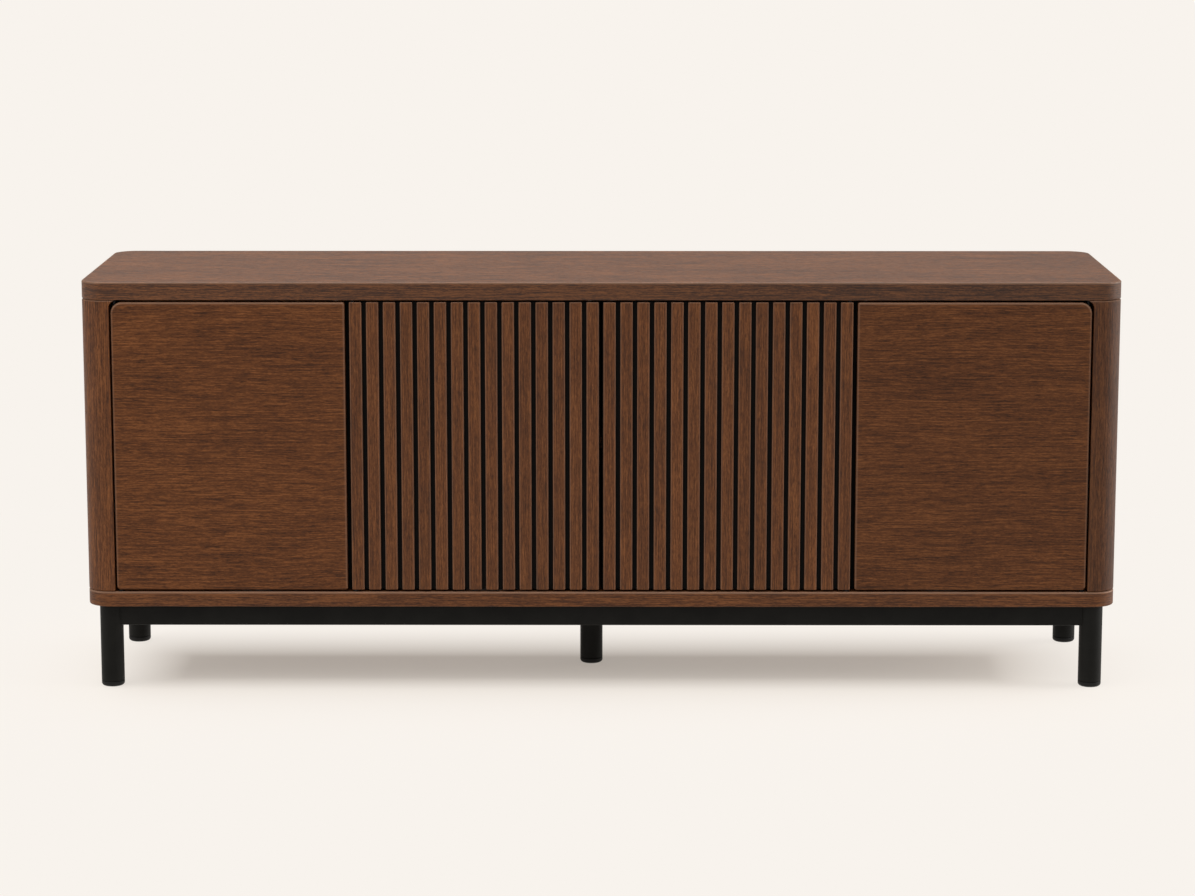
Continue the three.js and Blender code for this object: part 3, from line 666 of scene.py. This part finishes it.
for side_name in ("left", "right"):
    for door in ("plain", "slat"):
        for end in ("top", "bottom"):
            node = f"{door}_door_pin_{end}_{side_name}"
            low, high = (np.array(corner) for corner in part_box(node))
            radius, chamfer = PIN_RADIUS, PIN_CHAMFER
            height = high[2] - low[2]
            section = [[radius - chamfer, 0], [radius, chamfer], [radius, height - chamfer],
                       [radius - chamfer, height]]
            if end == "bottom":
                collar = (high[0] - low[0]) / 2
                section[2:2] = [[radius, COLLAR_LOW], [collar - COLLAR_EASE, COLLAR_LOW],
                                [collar, COLLAR_LOW + COLLAR_EASE],
                                [collar, COLLAR_HIGH - COLLAR_EASE],
                                [collar - COLLAR_EASE, COLLAR_HIGH], [radius, COLLAR_HIGH]]
            rings = circle_rings(section, 32)
            middle = (low + high) / 2
            pin = shell(f"pivot_{door}_{end}_{side_name}", rings + [middle[0], middle[1], low[2]])
            finish_piece(pin, black_oxide, "pivot_steel", "root", node)

# ---- Push latches --------------------------------------------------------------------
# A grey moulded housing screwed under the top behind each door's free edge. Its sprung
# plunger has a magnetic tip that holds a zinc-plated strike plate on the door.


def moulded_grey(name):
    """Grey moulded plastic with faint flow marks."""
    material, tree, surface = start_material(name)
    place = add_node(tree, "TexCoord").outputs["Object"]
    flow = stretched_noise(tree, place, 90, 260, 3.0)
    tint = spread(tree, flow, 0.3, 0.7, 0.9, 1.08)
    tree.links.new(scaled(tree, (0.155, 0.157, 0.162), tint), surface.inputs["Base Color"])
    tree.links.new(spread(tree, flow, 0.3, 0.7, 0.42, 0.56), surface.inputs["Roughness"])
    return material


grey_plastic = moulded_grey("grey_moulded_plastic")
zinc_plate = metal("zinc_plated_steel", (0.55, 0.55, 0.57), 0.34, 0.08)
HOUSING_EASE = 0.0012
HOUSING_RADIUS = 0.002
BORE_RADIUS = 0.0043
BORE_DEPTH = 0.042


def latch_housing(name, low, high, centre):
    """The housing's rounded section carried forward, turned in at the mouth and carried
    back down a bore: each point of the section slides straight to the point of the bore's
    circle at its own angle. The section's points crowd at its corners, so the bore is left
    with four long flats, and the plunger's rod cuts 0.7 mm into them inside the housing."""
    outline = rounded_outline((low[0], low[2]), (high[0], high[2]), [HOUSING_RADIUS] * 4, steps=8)
    length = high[1] - low[1]
    body = carried(outline, eased_profile(length, 0.0004, HOUSING_EASE, 4))[:-1]
    away = drawn_in(outline) - [centre[0], centre[2]]
    direction = away / np.linalg.norm(away, axis=1, keepdims=True)
    bore = np.array([[BORE_RADIUS + 0.0012, length], [BORE_RADIUS + 0.0004, length],
                     [BORE_RADIUS, length - 0.0004], [BORE_RADIUS, length - BORE_DEPTH]])
    mouth = np.array([centre[0], centre[2]]) + direction[None] * bore[:, None, :1]
    depth = np.broadcast_to(bore[:, 1][:, None, None], mouth.shape[:2] + (1,))
    rings = np.concatenate([body, np.concatenate([mouth, depth], axis=2)])
    return shell(name, upright(rings, high[1]))


for side_name in ("left", "right"):
    for door in ("plain", "slat"):
        label = f"{door}_{side_name}"
        node = f"{door}_latch_housing_{side_name}"
        low, high = (np.array(corner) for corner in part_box(node))
        centre = (low + high) / 2
        housing = latch_housing(f"latch_body_{label}", low, high, centre)
        finish_piece(housing, grey_plastic, "latch_plastic", "root", node)

        node = f"{door}_latch_plunger_{side_name}"
        low, high = (np.array(corner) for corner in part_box(node))
        rod, tip, length = 0.004, (high[0] - low[0]) / 2, high[1] - low[1]
        section = np.concatenate([
            [[rod - 0.0005, 0], [rod, 0.0005], [rod, length - 0.0026],
             [rod + 0.0006, length - 0.002]],
            arc((tip - 0.0006, length - 0.0014), 0.0006, -90, 0, 3),
            arc((tip - 0.0007, length - 0.0007), 0.0007, 0, 90, 3),
            [[tip - 0.002, length], [tip - 0.0023, length - 0.0003],
             [0.0004, length - 0.0003]],
        ])
        rings = circle_rings(section, 40)
        forward = np.stack([rings[..., 0], -rings[..., 2], rings[..., 1]], axis=-1)
        plunger = shell(f"latch_rod_{label}", forward + [centre[0], high[1], centre[2]])
        finish_piece(plunger, black_nylon, "black_nylon", node, node)

        node = f"{door}_door_strike_{side_name}"
        low, high = (np.array(corner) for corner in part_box(node))
        radius, thick = (high[0] - low[0]) / 2, high[1] - low[1]
        section = np.concatenate([
            [[radius, 0]],
            arc((radius - 0.0004, thick - 0.0004), 0.0004, 0, 90, 3),
            [[0.0031, thick], [0.0022, thick - 0.0007], [0.0012, thick - 0.0007],
             [0.0009, thick - 0.0012]],
        ])
        rings = circle_rings(section, 36)
        inward = np.stack([-rings[..., 0], rings[..., 2], rings[..., 1]], axis=-1)
        strike = shell(f"strike_plate_{label}", inward + [centre[0], low[1], centre[2]])
        finish_piece(strike, zinc_plate, "zinc_steel", f"{door}_door_{side_name}", node)

# ---- Base frame ----------------------------------------------------------------------
# Round legs and rectangular rails of steel tube, welded up and powder coated matt black.
# Each leg stands on a black nylon glide with a rounded edge, pushed up into its foot.


def powder_coat(name):
    """Matt black powder coat: a fine orange-peel skin with slow changes of tone where the
    coat is thicker."""
    material, tree, surface = start_material(name)
    place = add_node(tree, "TexCoord").outputs["Object"]
    peel = stretched_noise(tree, place, 700, 700, 2.0)
    drift = stretched_noise(tree, place, 30, 30, 3.0)
    tint = spread(tree, drift, 0.3, 0.7, 0.8, 1.25)
    tree.links.new(scaled(tree, (0.0062, 0.0060, 0.0052), tint), surface.inputs["Base Color"])
    tree.links.new(spread(tree, peel, 0.3, 0.7, 0.44, 0.58), surface.inputs["Roughness"])
    bump = add_node(tree, "Bump", {"Height": peel, "Strength": 0.3, "Distance": 0.00012})
    tree.links.new(bump.outputs[0], surface.inputs["Normal"])
    surface.inputs["Specular IOR Level"].default_value = 0.11
    return material


black_coat = powder_coat("matt_black_powder_coat")
LEG_CHAMFER = 0.0006
GLIDE_EDGE = 0.005
GLIDE_SHOULDER = 0.008
GLIDE_NECK = 0.003

for leg in ("front_leg_left", "front_leg_right", "rear_leg_left", "rear_leg_right", "middle_leg"):
    low, high = (np.array(corner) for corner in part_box(leg))
    middle, radius, height = (low + high) / 2, (high[0] - low[0]) / 2, high[2] - low[2]
    section = [[radius - LEG_CHAMFER, 0], [radius, LEG_CHAMFER], [radius, 2 * LEG_CHAMFER],
               [radius, height - 2 * LEG_CHAMFER], [radius, height - LEG_CHAMFER],
               [radius - LEG_CHAMFER, height]]
    tube = shell(leg.replace("leg", "leg_tube"),
                 circle_rings(section, 64) + [middle[0], middle[1], low[2]])
    finish_piece(tube, black_coat, "black_enamel", "root", leg)

    glide = leg.replace("leg", "glide")
    low, high = (np.array(corner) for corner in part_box(glide))
    section = np.concatenate([
        [[0.004, 0], [radius - GLIDE_EDGE - 0.001, 0]],
        arc((radius - GLIDE_EDGE, GLIDE_EDGE), GLIDE_EDGE, -90, 0, 8),
        [[radius, GLIDE_SHOULDER - 0.0005], [radius - 0.0005, GLIDE_SHOULDER],
         [radius - GLIDE_NECK, GLIDE_SHOULDER], [radius - GLIDE_NECK, GLIDE_SHOULDER + 0.004]],
    ])
    foot = shell(glide.replace("glide", "foot_glide"),
                 circle_rings(section, 64) + [middle[0], middle[1], low[2]])
    finish_piece(foot, black_nylon, "black_nylon", "root", glide)

RAIL_CORNER = 0.0025
RAIL_END = 0.0004
INTO_LEG = 0.004


def lengthwise(rings, x):
    """The outline stands in y and z, and the height runs along x."""
    return np.stack([x + rings[..., 2], rings[..., 0], rings[..., 1]], axis=-1)


for node in ("front_rail", "rear_rail", "side_rail_left", "side_rail_right", "cross_rail"):
    low, high = (np.array(corner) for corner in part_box(node))
    if node in ("front_rail", "rear_rail"):
        outline = rounded_outline(low[1:], high[1:], [RAIL_CORNER] * 4, steps=6)
        length = high[0] - low[0] + 2 * INTO_LEG
        rings = lengthwise(carried(outline, eased_profile(length, RAIL_END, RAIL_END, 2)),
                           low[0] - INTO_LEG)
    else:
        outline = rounded_outline((low[0], low[2]), (high[0], high[2]), [RAIL_CORNER] * 4, steps=6)
        length = high[1] - low[1] + 2 * INTO_LEG
        rings = upright(carried(outline, eased_profile(length, RAIL_END, RAIL_END, 2)),
                        high[1] + INTO_LEG)
    finish_piece(shell(node + "_tube", rings), black_coat, "black_enamel", "root", node)

# ---- Studio --------------------------------------------------------------------------
# A pale seamless floor that fades into an equally pale surround, and four wide, soft lights:
# one high in front, one nearly overhead, and one low at each side.

PAPER = (0.939, 0.896, 0.847, 1)
FLOOR_SIZE = 40.0
DARKEST = (-0.02, -0.06, 0.0)
DARKEST_HALF = (0.64, 0.07, 1.0)
FADE = 0.12
OWN_LIGHT = 0.37
# glow colour in the dark core: a painted warm tint in the shadow
WARM_SHADOW_TINT = (0.939, 0.860, 0.775, 1)
SURROUND_LIGHT = 0.5
LIGHT_COLOUR = (1.0, 0.985, 0.96)
FLOOR_LINES = 9

grid = np.linspace(-FLOOR_SIZE / 2, FLOOR_SIZE / 2, FLOOR_LINES)
gx, gy = np.meshgrid(grid, grid)
ground = np.stack([gx, gy, np.full_like(gx, -0.0002)], axis=-1).reshape(-1, 3)
index = np.arange(FLOOR_LINES ** 2).reshape(FLOOR_LINES, FLOOR_LINES)
squares = np.stack([index[:-1, :-1], index[:-1, 1:], index[1:, 1:], index[1:, :-1]], axis=-1)
floor_mesh = bpy.data.meshes.new("studio_floor")
floor_mesh.from_pydata(ground, [], squares.reshape(-1, 4).tolist())
floor = bpy.data.objects.new("studio_floor", floor_mesh)
bpy.context.scene.collection.objects.link(floor)

paper, tree, surface = start_material("studio_paper")
tree.nodes.remove(surface)
output = tree.nodes["Material Output"]
place = add_node(tree, "TexCoord").outputs["Object"]
# under the cabinet the floor mostly takes light; from there outwards it fades to the
# surround's own paleness, by exp(-distance from the dark core / FADE)
centred = vector_math(tree, "SUBTRACT", place, DARKEST)
folded = vector_math(tree, "ABSOLUTE", centred)
beyond = vector_math(tree, "SUBTRACT", folded, DARKEST_HALF)
outside = vector_math(tree, "MAXIMUM", beyond, (0, 0, 0))
distance = add_node(tree, "VectorMath", {0: outside}, operation="LENGTH").outputs["Value"]
falling = arithmetic(tree, "EXPONENT", arithmetic(tree, "MULTIPLY", distance, -1 / FADE))
fade = arithmetic(tree, "MULTIPLY_ADD", falling, OWN_LIGHT - 1.0, 1.0)
lit = add_node(tree, "BsdfDiffuse", {"Color": (0.80, 0.765, 0.722, 1)}).outputs[0]
# the glow turns warmer in the dark core, painting a warm tint into the shadow
tinted_glow = add_node(tree, "Mix", {"Factor": falling, "A": PAPER, "B": WARM_SHADOW_TINT}, data_type="RGBA")
glow = add_node(tree, "Emission", {"Color": tinted_glow.outputs["Result"], "Strength": 1.0}).outputs[0]
blend = add_node(tree, "MixShader", {0: fade, 1: lit, 2: glow}).outputs[0]
tree.links.new(blend, output.inputs["Surface"])
floor_mesh.materials.append(paper)

world = bpy.data.worlds.new("studio_surround")
world.use_nodes = True
background = world.node_tree.nodes["Background"]
background.inputs["Color"].default_value = PAPER
seen = add_node(world.node_tree, "LightPath").outputs["Is Camera Ray"]
strength = spread(world.node_tree, seen, 0, 1, SURROUND_LIGHT, 1.0)
world.node_tree.links.new(strength, background.inputs["Strength"])
bpy.context.scene.world = world


def soft_light(name, toward, strength, width):
    """A distant light that shines from the direction toward, as wide as width in degrees."""
    data = bpy.data.lights.new(name, "SUN")
    data.energy = strength
    data.angle = np.radians(width)
    data.color = LIGHT_COLOUR
    light = bpy.data.objects.new(name, data)
    light.rotation_euler = Vector(toward).to_track_quat("Z", "Y").to_euler()
    bpy.context.scene.collection.objects.link(light)


soft_light("front_light", (-0.35, -0.6, 1.25), 0.85, 60)
soft_light("overhead_light", (-0.1, 0.25, 1.0), 1.8, 60)
soft_light("left_light", (-1.0, -0.5, 0.4), 0.8, 60)
soft_light("right_light", (1.0, 0.1, 0.25), 3.1, 50)

LENS = 102.7
CAMERA_PLACE = (0.011, -5.388, 1.288)
CAMERA_PITCH = np.radians(90 - 9.914)
CAMERA_YAW = np.radians(0.183)
camera_data = bpy.data.cameras.new("camera")
camera_data.lens = LENS
camera_data.sensor_width = 36.0
camera_data.clip_end = 100.0
camera = bpy.data.objects.new("camera", camera_data)
camera.location = CAMERA_PLACE
camera.rotation_euler = (CAMERA_PITCH, 0.0, CAMERA_YAW)
bpy.context.scene.collection.objects.link(camera)
bpy.context.scene.camera = camera
bpy.context.scene.view_settings.view_transform = "Standard"
